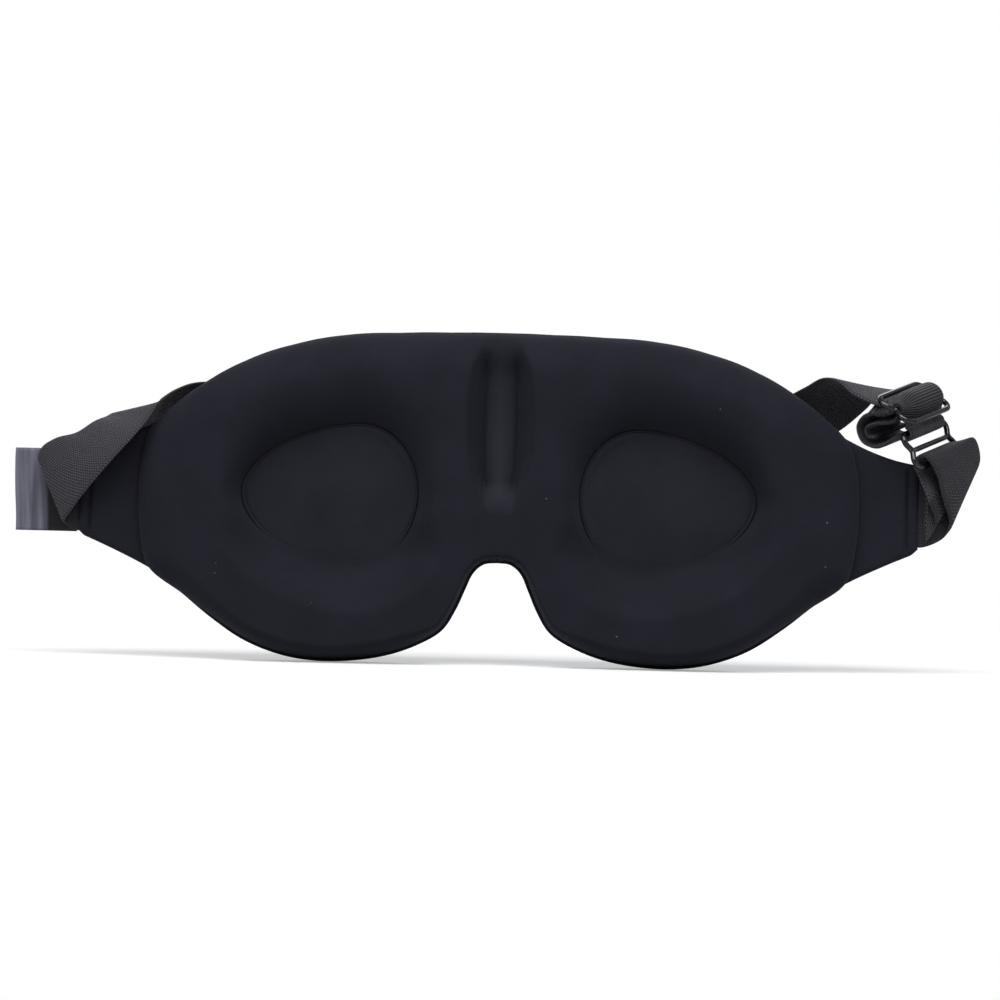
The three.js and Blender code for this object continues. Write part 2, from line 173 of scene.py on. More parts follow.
def make_object(name, points, faces, cloth=None):
    """A smooth mesh object from points in mm. cloth is each point's place on the flat material."""
    mesh = bpy.data.meshes.new(name)
    mesh.from_pydata((np.asarray(points, float) * MM).tolist(), [], [tuple(map(int, f)) for f in faces])
    where = points if cloth is None else cloth
    attribute = mesh.attributes.new("cloth", "FLOAT_VECTOR", "POINT")
    attribute.data.foreach_set("vector", np.asarray(where, np.float32).ravel())
    shape = bmesh.new()
    shape.from_mesh(mesh)
    bmesh.ops.remove_doubles(shape, verts=shape.verts, dist=1e-6)
    bmesh.ops.recalc_face_normals(shape, faces=shape.faces)
    shape.to_mesh(mesh)
    shape.free()
    shade_smooth(mesh)
    piece = bpy.data.objects.new(name, mesh)
    add_to_scene(piece)
    return piece


def grid_faces(rows, columns, closed=True, first=0):
    """Quads between neighbouring rows of points. A closed grid joins its last column to its first."""
    faces = []
    for i in range(rows - 1):
        for k in range(columns if closed else columns - 1):
            k1 = (k + 1) % columns
            here, above = first + i * columns, first + (i + 1) * columns
            faces.append((here + k, here + k1, above + k1, above + k))
    return faces


def strip(first, second, count):
    """Quads between two rows of points, given by the numbers of their first points."""
    return [(first + k, first + k + 1, second + k + 1, second + k) for k in range(count - 1)]


def tube(name, rows, cloth=None, ends=True):
    """A closed solid through matching loops of points. Without ends, the last loop joins the first."""
    rows = np.asarray(rows, float)
    count, around = rows.shape[:2]
    faces = grid_faces(count, around)
    if ends:
        faces.append(tuple(range(around)))
        faces.append(tuple(range((count - 1) * around, count * around)))
    else:
        last = (count - 1) * around
        faces += [(last + k, last + (k + 1) % around, (k + 1) % around, k) for k in range(around)]
    flat = None if cloth is None else np.asarray(cloth, float).reshape(-1, 3)
    return make_object(name, rows.reshape(-1, 3), faces, flat)


def apply_modifiers(piece):
    """Turns a piece's modifiers into its mesh."""
    with bpy.context.temp_override(object=piece, active_object=piece, selected_objects=[piece]):
        for modifier in list(piece.modifiers):
            bpy.ops.object.modifier_apply(modifier=modifier.name)
    shade_smooth(piece.data)
    return piece


def thicken(piece, thickness):
    """Gives a sheet its thickness, on the side away from its normals."""
    modifier = piece.modifiers.new("thickness", "SOLIDIFY")
    modifier.thickness = thickness * MM
    modifier.offset = -1
    return apply_modifiers(piece)


def finish_piece(piece, material, slot, *nodes):
    """Gives a piece its material and lets it stand for its CAD nodes."""
    piece.data.materials.append(material)
    if nodes:
        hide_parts(*nodes)


# ---- small maths


def smoothstep(value, low=0.0, high=1.0):
    """Smooth rise from 0 at low to 1 at high."""
    t = np.clip((value - low) / (high - low), 0, 1)
    return t * t * (3 - 2 * t)


def bell(value, width):
    """Smooth bump, 1 at zero and almost 0 at twice the width."""
    return np.exp(-((value / width) ** 2))


def stack(*parts):
    """Points from their coordinates, of which some may be single numbers."""
    return np.stack(np.broadcast_arrays(*parts), axis=-1)


def unit(v):
    v = np.asarray(v, float)
    return v / np.linalg.norm(v, axis=-1, keepdims=True)


def circle(count):
    """Evenly spaced angles round a full turn."""
    return np.linspace(0, 2 * math.pi, count, endpoint=False)


def spline(points, steps):
    """Centripetal Catmull-Rom curve, with the same number of steps between neighbouring points."""
    p = np.asarray(points, float)
    p = np.vstack([2 * p[0] - p[1], p, 2 * p[-1] - p[-2]])
    t = np.linspace(0, 1, steps, endpoint=False)[:, None]
    rows = []
    for a, b, c, d in zip(p, p[1:], p[2:], p[3:]):
        ab, bc, cd = [max(np.linalg.norm(q - r), 1e-6) ** 0.5 for q, r in ((b, a), (c, b), (d, c))]
        leave = ((b - a) / ab - (c - a) / (ab + bc) + (c - b) / bc) * bc
        arrive = ((c - b) / bc - (d - b) / (bc + cd) + (d - c) / cd) * bc
        square, cube = t * t, t * t * t
        rows.append((2 * cube - 3 * square + 1) * b + (cube - 2 * square + t) * leave
                    + (3 * square - 2 * cube) * c + (cube - square) * arrive)
    return np.vstack([*rows, p[-2:-1]])


def lengths(points):
    """Distance along a line of points, from its start to each of them."""
    return np.concatenate([[0], np.cumsum(np.linalg.norm(np.diff(points, axis=0), axis=1))])


def even(points, count):
    """The same line with evenly spaced points."""
    points = np.asarray(points, float)
    length = lengths(points)
    wanted = np.linspace(0, length[-1], count)
    return np.stack([np.interp(wanted, length, points[:, k]) for k in range(points.shape[1])], axis=1)


# ---- padded body

# Half outline on the +X side, from the top of the centre line round to the nose notch.
HALF_OUTLINE = [
    (0, 45.6), (24, 45.1), (44, 43.9), (60, 40.4), (72, 35.8), (82, 30), (90, 24), (97.2, 16.6),
    (99.6, 8), (100.2, -2), (99.6, -12), (97.2, -21.8),
    (88, -28.9), (80, -35.4), (70, -42), (58, -46.2), (46, -47.3), (32, -45.7), (22, -42.3),
    (15, -38), (11.2, -32), (8.8, -26.5), (6.5, -21.6), (3.6, -19.2), (0, -18.8),
]
OUTLINE = even(spline(HALF_OUTLINE, 24), 640)


def bow(x):
    """The mask's sweep towards the face."""
    return WING_HINGE[1] * (x / WING_HINGE[0]) ** 2


def rim_distance(x, z):
    """Distance from the rim of the body."""
    here = stack(np.abs(x), z).reshape(-1, 2)
    nearest = [np.linalg.norm(block[:, None] - OUTLINE[None], axis=2).min(axis=1)
               for block in np.array_split(here, max(1, len(here) // 4000))]
    return np.concatenate(nearest).reshape(np.shape(x))


def rounding(distance, radius):
    """Quarter-ellipse rounding, from 0 at the rim to 1 on the pad."""
    return np.sqrt(1 - (1 - np.clip(distance / radius, 0, 1)) ** 2)


def groove(x, z):
    """Depth of the nose groove: steep flanks with rounded lips, beside a shallow crowned floor."""
    along = np.clip((z - GROOVE_LOW) / (GROOVE_HIGH - GROOVE_LOW), 0, 1)
    spindle = np.sin(math.pi * along) ** GROOVE_TAPER
    floor, top = GROOVE_FLOOR * spindle ** 0.7 + 0.01, GROOVE_TOP * spindle + 0.02
    out = np.abs(x)
    climb = np.clip((out - floor) / (top - floor), 0, 1)
    wall = GROOVE_DEPTH * (1 - smoothstep(climb))
    crown = GROOVE_CROWN * (1 - np.clip(out / floor, 0, 1) ** 2)
    deepening, dying_out = GROOVE_SHALLOW
    ends = smoothstep(z, *deepening) * (1 - smoothstep(z, *dying_out))
    return (wall - crown) * ends


def face_y(x, z, climb):
    """Face-side surface. climb goes from 0 at a cup's edge to 1 at the top of its wall."""
    upper = smoothstep(z, *UPPER_EDGE)
    out = np.abs(x)
    near_wing = smoothstep(out, *WING_ZONE)
    near_nose = (1 - smoothstep(out, *NOSE_ZONE)) * (1 - upper)
    radius = LOWER_ROUND + (PAD_ROUND - LOWER_ROUND) * upper
    radius += (WING_ROUND - radius) * near_wing
    radius += (NOSE_ROUND - radius) * near_nose
    flange = FLANGE * (1 - upper) * (1 - near_wing)
    height = PAD_HEIGHT * (1 - PAD_THINNING * smoothstep(out, *THIN_ZONE))
    pad = bow(x) - RIM - height * rounding(rim_distance(x, z) - flange, radius) + groove(x, z)
    climb = np.clip(climb, 0, 1)
    steep = 1 - (1 - climb) ** CUP_WALL_CURVE
    soft = 1 - smoothstep(z, *SOFT_WALL)  # the lower wall runs smoothly out of the floor
    return CUP_FLOOR_Y + (pad - CUP_FLOOR_Y) * (steep + (smoothstep(climb) - steep) * soft)


def outer_y(x, z, climb):
    """Outer surface: a shallow crown with a flat oval over each eye."""
    crown = bow(x) + RIM + BACK_HEIGHT * rounding(rim_distance(x, z), BACK_ROUND)
    flat = bow(CUP_X) + RIM + BACK_HEIGHT + BACK_OVAL
    return flat + (crown - flat) * smoothstep(climb * 0.8)


def cup_edge(angle, scale=1.0):
    """Egg-shaped edge of the right cup's floor, blunt at the nose and tapered at the temple."""
    cosine, sine = np.cos(angle), np.sin(angle)
    half = np.where(cosine < 0, CUP_NOSE, CUP_TEMPLE)
    power = 1 + (CUP_TAPER - 1) * (cosine > 0) * (sine > 0)
    x = half * np.sign(cosine) * np.abs(cosine) ** power
    z = CUP_TALL * np.sign(sine) * np.abs(sine) ** power
    return stack(CUP_X + scale * x, scale * z)


def cup_reach(x, z):
    """Rough distance from the edge of the nearer cup's floor, negative inside it."""
    half = np.where(np.abs(x) < CUP_X, CUP_NOSE, CUP_TEMPLE)
    return (np.hypot((np.abs(x) - CUP_X) / half, z / CUP_TALL) - 1) * CUP_TALL


def half_path(outline_count, centre_count):
    """Closed path round the right half: along the outline, then up the centre line."""
    rim = even(OUTLINE, outline_count)
    centre = np.linspace(rim[-1], rim[0], centre_count + 2)[1:-1]
    return np.vstack([rim, centre])


def ring_steps(count):
    """Steps from the cup's edge to the rim, closer together at both ends."""
    t = np.linspace(0, 1, count)
    return (t + smoothstep(t)) / 2


def half_grid(outline_count, centre_count, steps):
    """Places (x, z) from a cup's edge out to the half outline, their climb up its wall, and the edge."""
    path = half_path(outline_count, centre_count)
    angle = np.arctan2(path[:, 1] / CUP_TALL, (path[:, 0] - CUP_X) / CUP_TEMPLE)
    inner = cup_edge(angle)
    place = inner[None] + (path - inner)[None] * steps[:, None, None]
    room = np.linalg.norm(path - inner, axis=1)
    wall = CUP_WALL_SIDE + (CUP_WALL_ABOVE - CUP_WALL_SIDE) * smoothstep(np.sin(angle), 0.1, 0.9)
    wall += (CUP_WALL_BELOW - CUP_WALL_SIDE) * smoothstep(-np.sin(angle), 0.2, 0.95)
    return place, room * steps[:, None] / wall, inner


def swollen(points, swell):
    """Points moved by the padding's swell, which dies out at the rim, the cup floors and the groove."""
    if swell is None:
        return points
    x, z = points[..., 0], points[..., 2]
    held = smoothstep(rim_distance(x, z), 0.5, 7) * smoothstep(cup_reach(x, z), 0, 5)
    free = held * (1 - groove(x, z) / GROOVE_DEPTH)
    return points + swell(points) * free[..., None]


def both_halves(name, points, faces):
    """A mesh object from the right half's points and faces and their mirror image."""
    right = np.array(points)
    both = [*faces, *[tuple(len(right) + index for index in face) for face in faces]]
    return make_object(name, np.vstack([right, right * [-1, 1, 1]]), both)


OUTLINE_COUNT = 220
CENTRE_COUNT = 80
STEPS = ring_steps(84)


RIM_SECTION = [(0, 0.6), (0.08, 0.3), (0.35, 0.12), (1.2, 0.07), (3, 0.06)]  # inset, share of RIM
FLANGE_SECTION = [(2.4, 1.3), (0.6, 0.9), (0.35, 0.3)]  # inset and depth under a cup's panel


def cup_flange(inner):
    """Hidden rows of a skin under a cup's panel."""
    inward = unit(np.array([CUP_X, 0]) - inner)
    rows = []
    for inset, sink in FLANGE_SECTION:
        place = inner + inward * inset
        rows.append(stack(place[:, 0], CUP_FLOOR_Y + sink, place[:, 1]))
    return rows


def eye_dome(edge):
    """Rows that close the outer skin over an eye."""
    centre = edge.mean(axis=0)
    return [centre + (edge - centre) * share for share in (0.15, 0.32, 0.5, 0.68, 0.85)]


def rim_rows(rim, turn):
    """Rows from the rim's edge inwards, where the skins are pressed together."""
    tangent = np.gradient(rim[:, [0, 2]], axis=0)
    inward = unit(stack(-tangent[:, 1], tangent[:, 0]))
    middle = len(rim) // 2
    if np.dot(inward[middle], np.array([CUP_X, 0]) - rim[middle][[0, 2]]) < 0:
        inward = -inward
    inward[[0, -1], 0] = 0
    rows = []
    for inset, height in RIM_SECTION:
        level = bow(rim[:, 0]) + turn * RIM * height
        rows.append(stack(rim[:, 0] + inward[:, 0] * inset, level, rim[:, 2] + inward[:, 1] * inset))
    return rows


def skin_sheet(name, surface, turn, swell):
    """One full-width skin of the body, from the cup floors out to the seam round the rim.

    turn is -1 for the face side and 1 for the outer side.
    """
    place, climb, inner = half_grid(OUTLINE_COUNT, CENTRE_COUNT, STEPS)
    x, z = place[..., 0], place[..., 1]
    body = swollen(stack(x, surface(x, z, climb), z), swell)
    inside = cup_flange(inner) if turn < 0 else eye_dome(body[0])
    body = np.concatenate([inside, body])
    columns = body.shape[1]
    faces = grid_faces(len(body), columns)
    if turn > 0:
        faces.append(tuple(range(columns)))
    points = list(body.reshape(-1, 3))
    previous = (len(body) - 1) * columns
    for row in rim_rows(body[-1][:OUTLINE_COUNT], turn):
        start = len(points)
        points += list(row)
        faces += strip(previous, start, OUTLINE_COUNT)
        previous = start
    return both_halves(name, points, faces)


def foam_body(name, offset, outline_count, centre_count, steps, swell=None):
    """The padding as one closed solid, set in from the skins."""
    place, climb, _ = half_grid(outline_count, centre_count, steps)
    x, z = place[..., 0], place[..., 1]
    sunk = offset * (1 + 1.2 * (1 - smoothstep(climb, 0, 0.9)))
    y = face_y(x, z, climb) + sunk
    inset = 1 - offset / 60 * steps[:, None]
    x, z = CUP_X + (x - CUP_X) * inset, z * inset
    x = np.where(place[..., 0] < 1e-6, 0, x)
    front = swollen(stack(x, y, z), swell)
    back = stack(x, outer_y(x, z, climb) - offset, z)
    columns = x.shape[1]
    points, faces = [], []
    for sheet in (front, back):
        first = len(points)
        faces += grid_faces(len(sheet), columns, first=first)
        points += list(sheet.reshape(-1, 3))
        faces.append(tuple(range(first, first + columns)))
    last = (len(front) - 1) * columns
    shift = len(front) * columns
    faces += strip(last, shift + last, outline_count)
    return both_halves(name, points, faces)


def inflated_pad():
    """Runs a cloth simulation of the padding under light pressure, held where it is pressed.

    Returns its points at rest and how far each has moved, in mm.
    """
    pad = foam_body("swell_source", 0, 72, 20, np.linspace(0, 1, 14))
    remesh = pad.modifiers.new("remesh", "REMESH")
    remesh.mode = "VOXEL"
    remesh.voxel_size = SWELL_VOXEL * MM
    apply_modifiers(pad)
    rest = np.array([v.co for v in pad.data.vertices]) / MM
    x, z = rest[:, 0], rest[:, 2]
    free = smoothstep(rim_distance(x, z), 2, 9) * smoothstep(cup_reach(x, z), 0, 6)
    held = pad.vertex_groups.new(name="pressed")
    for index, weight in enumerate(1 - free * (1 - groove(x, z) / GROOVE_DEPTH)):
        held.add([index], float(weight), "REPLACE")
    cloth = pad.modifiers.new("cloth", "CLOTH")
    cloth.settings.vertex_group_mass = "pressed"
    cloth.settings.use_pressure = True
    cloth.settings.uniform_pressure_force = SWELL_PRESSURE
    cloth.settings.quality = 5
    cloth.settings.effector_weights.gravity = 0
    cloth.point_cache.frame_start = 1
    cloth.point_cache.frame_end = SWELL_FRAMES
    for step in range(1, SWELL_FRAMES + 1):
        bpy.context.scene.frame_set(step)
    seen = pad.evaluated_get(bpy.context.evaluated_depsgraph_get())
    moved = np.array([v.co for v in seen.data.vertices]) / MM - rest
    bpy.data.objects.remove(pad)
    bpy.context.scene.frame_set(1)
    return rest, moved


def simulate_swell():
    """A function that gives the padding's swell, in mm, at places on the body."""
    rest, moved = inflated_pad()
    length = np.linalg.norm(moved, axis=1, keepdims=True)
    moved = moved * SWELL / (SWELL + length)
    tree = KDTree(len(rest))
    for index, point in enumerate(rest):
        tree.insert(point, index)
    tree.balance()

    def swell(points):
        found = []
        for point in points.reshape(-1, 3):
            near = tree.find_n(point, 8)
            share = np.array([1 / (distance + 1) ** 2 for _, _, distance in near])
            found.append(share @ moved[[index for _, index, _ in near]] / share.sum())
        return np.array(found).reshape(points.shape)

    return swell


PANEL_CROWN = 0.45  # rise of a cup panel's middle
PANEL_PLAIN = 0.955  # share of the panel inside its bead
BEAD = [(0.963, 0.18), (0.969, 0.16), (0.975, -0.14), (0.981, -0.24), (0.987, -0.16), (0.992, 0.1)]
PUCKER_X, PUCKER_Z = 50, -11  # a small upright pucker in the left panel


def cup_panel(name, side):
    """The panel at the bottom of an eye cup: crowned, turned up towards the nose and thinly beaded."""
    angles = circle(160)
    towards_nose = smoothstep(-np.cos(angles), -0.5, 0.6)
    bottom = smoothstep(-np.sin(angles), 0.3, 0.9)  # the bead dies out and the panel runs under the wall
    plain = 1 - bottom
    turned_up = (0.15 + 0.75 * towards_nose) * plain - 0.05 * bottom
    rows = []

    def add_row(scale, lift):
        place = cup_edge(angles, scale * (1 + 0.02 * bottom * smoothstep(scale, 0.8, 0.99)))
        rows.append(stack(side * place[:, 0], CUP_FLOOR_Y + lift, place[:, 1]))

    for scale in np.linspace(0.1, PANEL_PLAIN, 34):
        place = cup_edge(angles, scale)
        pucker = 0.5 * bell(place[:, 0] - PUCKER_X, 1.8) * bell(place[:, 1] - PUCKER_Z, 5) * (side < 0)
        crown = PANEL_CROWN * (1 - scale ** 2)
        add_row(scale, pucker - crown - turned_up * smoothstep(scale, 0.8, PANEL_PLAIN))
    for scale, bead in BEAD:
        add_row(scale, bead * plain - turned_up)
    for scale, depth in ((0.995, 0.5), (0.985, 0.9), (0.5, 0.9), (0.1, 0.9)):
        add_row(scale, depth)
    return tube(name, rows)


# ---- wings

# Upper and lower edges of the right wing, from under the padding out to the sewn end.
WING_TOP = [(92, 20.6), (97, 17.9), (103.1, 15), (110, 12.6), (WING_END_X, 11.2)]
WING_LOW = [(92, -25), (97, -22.3), (101.2, -20.1), (109, -16.4), (WING_END_X, -13)]
WING_BEND = (97, 106)  # stretch along a wing where its covers would bend as it flexes; nothing in this script bends them
STITCH_ROW = 3.2  # stitch row to the sewn end
STITCH_X = WING_END_X - STITCH_ROW
STITCH_LOW, STITCH_HIGH = -11.6, 9.6
STITCH_LENGTH = 2.1
STITCH_SINK = 0.95  # below the wing's faces


def wing_y(x):
    """Mid-plane of a wing, straight on from the hinge."""
    slope = 2 * WING_HINGE[1] / WING_HINGE[0]
    return np.where(x < WING_HINGE[0], bow(x), WING_HINGE[1] + (x - WING_HINGE[0]) * slope)


def wing_ply(name, side, turn):
    """One ply of a wing with rounded edges. turn is -1 for the face side and 1 for the outer side."""
    along = WING_TOP[0][0] + (WING_END_X - WING_TOP[0][0]) * np.sin(np.linspace(0, math.pi / 2, 44))
    top = np.interp(along, *even(spline(WING_TOP, 20), 200).T)
    low = np.interp(along, *even(spline(WING_LOW, 20), 200).T)
    share = (1 - np.cos(np.linspace(0, math.pi, 41))) / 2
    rows = []
    for x, z_top, z_low in zip(along, top, low):
        corner = smoothstep(x, WING_END_X - 2.2, WING_END_X) * 0.9
        z = z_low + corner + (z_top - z_low - 2 * corner) * share
        edge = np.minimum(np.minimum(z - z_low, z_top - z), WING_END_X - x)
        middle = wing_y(x)
        seam = bell(x - STITCH_X, 0.5) * smoothstep(edge, 0.5, 2.5)
        lift = 0.12 + (RIM - 0.12) * rounding(edge, 1.5) - seam
        surface = stack(side * x, middle + turn * lift, z)
        inside = stack(side * x, middle + turn * 0.06, z)
        rows.append(np.vstack([surface, inside[::-1]]))
    return tube(name, rows)


def stitch(start, end, normal, radius=0.17, count=8):
    """Loops of points for one sewn stitch, arched along normal between two needle holes."""
    start, end, normal = np.asarray(start, float), np.asarray(end, float), unit(normal)
    along = unit(end - start)
    across = np.cross(along, normal)
    loops = []
    for t in np.linspace(0, 1, count):
        centre = start + (end - start) * t + normal * (math.sin(math.pi * t) * radius * 1.1 - radius * 0.5)
        size = radius * max(0.25, math.sin(math.pi * (0.08 + 0.84 * t))) ** 0.5
        angle = circle(8)[:, None]
        loops.append(centre + size * (np.cos(angle) * normal + np.sin(angle) * across))
    return np.array(loops)


def stitch_rows(name, lines):
    """Many rows of stitches as one piece. A line is (start, end, normal, stitch length)."""
    points, faces = [], []
    for start, end, normal, length in lines:
        start, end = np.asarray(start, float), np.asarray(end, float)
        count = max(1, round(np.linalg.norm(end - start) / (length * 1.25)))
        step = (end - start) / count
        for k in range(count):
            loops = stitch(start + step * (k + 0.1), start + step * (k + 0.9), normal)
            around = loops.shape[1]
            first = sum(len(p) for p in points)
            last = first + (len(loops) - 1) * around
            faces += grid_faces(len(loops), around, first=first)
            faces += [tuple(range(cap, cap + around)) for cap in (first, last)]
            points.append(loops.reshape(-1, 3))
    return make_object(name, np.vstack(points), faces)


# ---- webbing

END_Y = [float(wing_y(x)) for x in (111, 114.4, 118, 118.6)]

# Edge points of the long strap, [near edge, far edge], from the left wing to the slider.
LEFT_FOLD = [
    ((-111, END_Y[0], -12.4), (-111, END_Y[0], 7.6)),
    ((-114.4, END_Y[1], -12.4), (-114.4, END_Y[1], 7.6)),
    ((-118, END_Y[2], -12.2), (-118.6, END_Y[3], 7.8)),
    ((-120.4, -8.8, -10.2), (-128.2, -7.8, 8)),
    ((-118.8, -10.6, -7.4), (-127.2, -8.2, 10.6)),
    ((-112.6, -14.6, 0.6), (-123.6, -5.8, 13.2)),
    ((-106, -17, 8.4), (-118.3, -3, 14.8)),
    ((-101, -16.6, 14.2), (-113.6, -1.2, 18)),
    ((-97.4, -14, 19), (-110.8, 0.6, 19.2)),
]
BEHIND = [
    ((-95.2, -12, 23), (-108.4, 2.2, 20.2)),
    ((-94.2, -10.4, 24.4), (-102, 6, 15.4)),
    ((-93, -8.6, 25.6), (-98.2, 8.2, 15.4)),
    ((-90.6, -5.6, 27.4), (-96.6, 10.6, 17)),
    ((-85.8, 0, 29.6), (-94, 13, 17)),
    ((-79, 6, 30), (-91, 14, 16)),
    ((-68, 10.4, 28), (-76, 15, 9.6)),
    ((-46, 12.6, 22), (-50, 14.6, 2.2)),
    ((-22, 13.4, 17.4), (-23, 14.8, -2.6)),
    ((22, 13.4, 17.4), (23, 14.8, -2.6)),
    ((46, 12.6, 22), (51, 15, 2.4)),
    ((64, 10.6, 26), (75, 16, 9.6)),
    ((73.4, 7.6, 28.2), (87, 16, 15)),
    ((79.7, 4, 29.7), (93.6, 15, 19.3)),
]
ARCH = [
    ((85, 1, 32.5), (97.3, 12.8, 21.8)),
    ((89.7, -2, 35.1), (103, 10.8, 27)),
    ((93.4, -5, 34.4), (107.8, 8.6, 32.1)),
    ((97.4, -8, 30.9), (111, 7.2, 32.3)),
]


def band(name, near, far, start=0.0, outer=-1, droop=0.0):
    """Webbing between two edge lines, with rounded, slightly corded selvedges.

    start is its place along the strap. outer tells which side of the webbing keeps its own colour;
    the other side gets painted shade, and this may change along the strap. droop bends the near edge down.
    """
    centre = (near + far) / 2
    along = unit(np.gradient(centre, axis=0))
    normal = unit(np.cross(far - near, along))
    length = start + lengths(centre)
    share = (1 + np.sin(np.linspace(-math.pi / 2, math.pi / 2, 25))) / 2
    out = np.abs(2 * share - 1)
    half = STRAP / 2 * (np.sqrt(1 - out ** 14) + 0.1 * bell(out - 0.93, 0.035))
    bent = droop * bell(share, 0.16)
    rows, cloth = [], []
    for a, b, n, v, unshaded_side in zip(near, far, normal, length, np.broadcast_to(outer, len(near))):
        flat = a + (b - a) * share[:, None] - n * bent[:, None]
        lift = n * half[:, None]
        rows.append(np.vstack([flat + lift, (flat - lift)[::-1]]))
        across = np.concatenate([share, share[::-1]]) * STRAP_WIDTH
        # third cloth coordinate: negative on the side that gets painted shade
        face = np.concatenate([half, -half[::-1]]) * unshaded_side
        cloth.append(stack(across, v, face))
    return tube(name, rows, cloth), length[-1]


BAR = -unit(JOINTS["slider_tilt"]["axis"])
SLIDER_CENTRE = joint_mm("slider_tilt")
SLIDER_UP = unit((-0.748, 0.363, 0.555))
SLIDER_OUT = unit(np.cross(BAR, SLIDER_UP))
RING_PIVOT = joint_mm("ring_tilt")
RING_UP = unit(np.mean(box_mm("ring"), axis=0) - RING_PIVOT)
RING_BOTTOM = RING_PIVOT + RING_UP * 2 * (BAR_PITCH - RING_PITCH)
RING_TOP = (-5.4, -4.6)  # the ring's top bar, up the slider and out of it


def across(up, out, along=0.0):
    """A point across the bars: distances up the slider and out of its face, at a place along the bars."""
    return SLIDER_CENTRE + SLIDER_UP * up + SLIDER_OUT * out + BAR * along


def bar_path(path, steps=10):
    """Edge lines of webbing drawn by its path across the bars."""
    half = BUCKLE_WEBBING / 2
    middle = spline([across(*place) for place in path], steps)
    middle = middle + BAR * BUCKLE_SHIFT
    return middle - BAR * half, middle + BAR * half


def round_bar(centre, start, stop, radius, count=8):
    """Path round a bar, between two angles in degrees."""
    turns = np.radians(np.linspace(start, stop, count + 1))
    return [(centre[0] + radius * math.cos(turn), centre[1] + radius * math.sin(turn)) for turn in turns]


ROUND_BAR = WIRE_R + 0.3 + STRAP / 2  # radius of webbing that runs round a bar

# Paths of the webbing across the bars, as distances up the slider and out of its face.
OVER_SLIDER = [(-4.35, -1.6), (-3.95, -0.3), (-3.6, 1.2), (-2.9, 2.5), (-1.6, 3.4), (0, 3.7),
               (1.6, 3.3), (2.9, 2.2), (3.7, 0.2), (4.5, -1.8), (6, -2.9), (7.6, -3.3)]
BIGHT = [(-3.95, -0.9), (-4.45, -2), *round_bar(RING_TOP, 70, 250, ROUND_BAR), (-4.4, -7)]
RETURN = [(2, -11.2), (4.2, -12.2), (5.6, -10.4), (4.2, -8), (1.6, -5.8), (-0.6, -3.6),
          *round_bar((0, 0), 235, -55, ROUND_BAR), (2.6, -3.2), (5.2, -5), (7.8, -8), (8, -11.6),
          (4.8, -14.3), (0.6, -13.4), (-1.8, -10.4), (-2.9, -8.2), (-4.4, -7)]


STRAP_STEPS = 12  # rows from one pair of edge points to the next


def edge_lines(stations):
    """Both edge lines of webbing through pairs of edge points."""
    return [spline([pair[end] for pair in stations], STRAP_STEPS) for end in (0, 1)]


def long_strap(webbing):
    """The long strap, cut where it passes from one pair of bodies to the next."""
    exit_pair = tuple(tuple(across(7.6, -3.3, end * BUCKLE_WEBBING / 2)) for end in (-1, 1))
    inside_pair = tuple(tuple(across(5.4, -2.7, end * (BUCKLE_WEBBING - 1) / 2)) for end in (-1, 1))
    near, far = edge_lines([*LEFT_FOLD, *BEHIND, *ARCH, exit_pair, inside_pair])
    cut_left = (len(LEFT_FOLD) + 8) * STRAP_STEPS
    cut_right = cut_left + STRAP_STEPS
    cut_arch = (len(LEFT_FOLD) + len(BEHIND) + 1) * STRAP_STEPS
    spans = [
        ("webbing_left", 0, cut_left, "left_half", "left_wing", (-98, 0, 22), (-110, 0, 13),
         ("strap_end_left", "strap_run_left")),
        ("webbing_behind", cut_left, cut_right, "left_half", "right_half", (-17, 0, 0), (17, 0, 0), ()),
        ("webbing_right", cut_right, cut_arch, "right_half", "right_wing", (78, 8, 24), (92, 2, 34),
         ("strap_run_right",)),
        ("webbing_arch", cut_arch, len(near) - 1, "right_wing", "ring", (95, 0, 34), (107, -2, 31),
         ("strap_arch",)),
    ]
    along = 0.0
    for name, first, last, body_a, body_b, start, end, nodes in spans:
        piece, along = band(name, near[first:last + 1], far[first:last + 1], along)
        finish_piece(piece, webbing, "webbing", *nodes)
        np.array(start) * MM
        np.array(end) * MM
        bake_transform(piece)
    return along


def adjuster_webbing(webbing, opened, along):
    """The strap's passage through the slider and the ring, and its sewn end."""
    over, _ = band("webbing_over_slider", *bar_path(OVER_SLIDER), along, outer=1, droop=2.6)
    finish_piece(over, opened, "webbing", "strap_over_slider")
    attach(over, "slider_strap")
    bight, _ = band("webbing_bight", *bar_path(BIGHT), along + 18)
    finish_piece(bight, webbing, "webbing", "strap_bight")
    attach(bight, "ring")
    # outer=0 gives the curl half of the webbing's painted shade on both sides
    curl, _ = band("webbing_return", *bar_path(RETURN), along + 30, outer=0)
    finish_piece(curl, webbing, "webbing", "strap_return")
    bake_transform(curl)


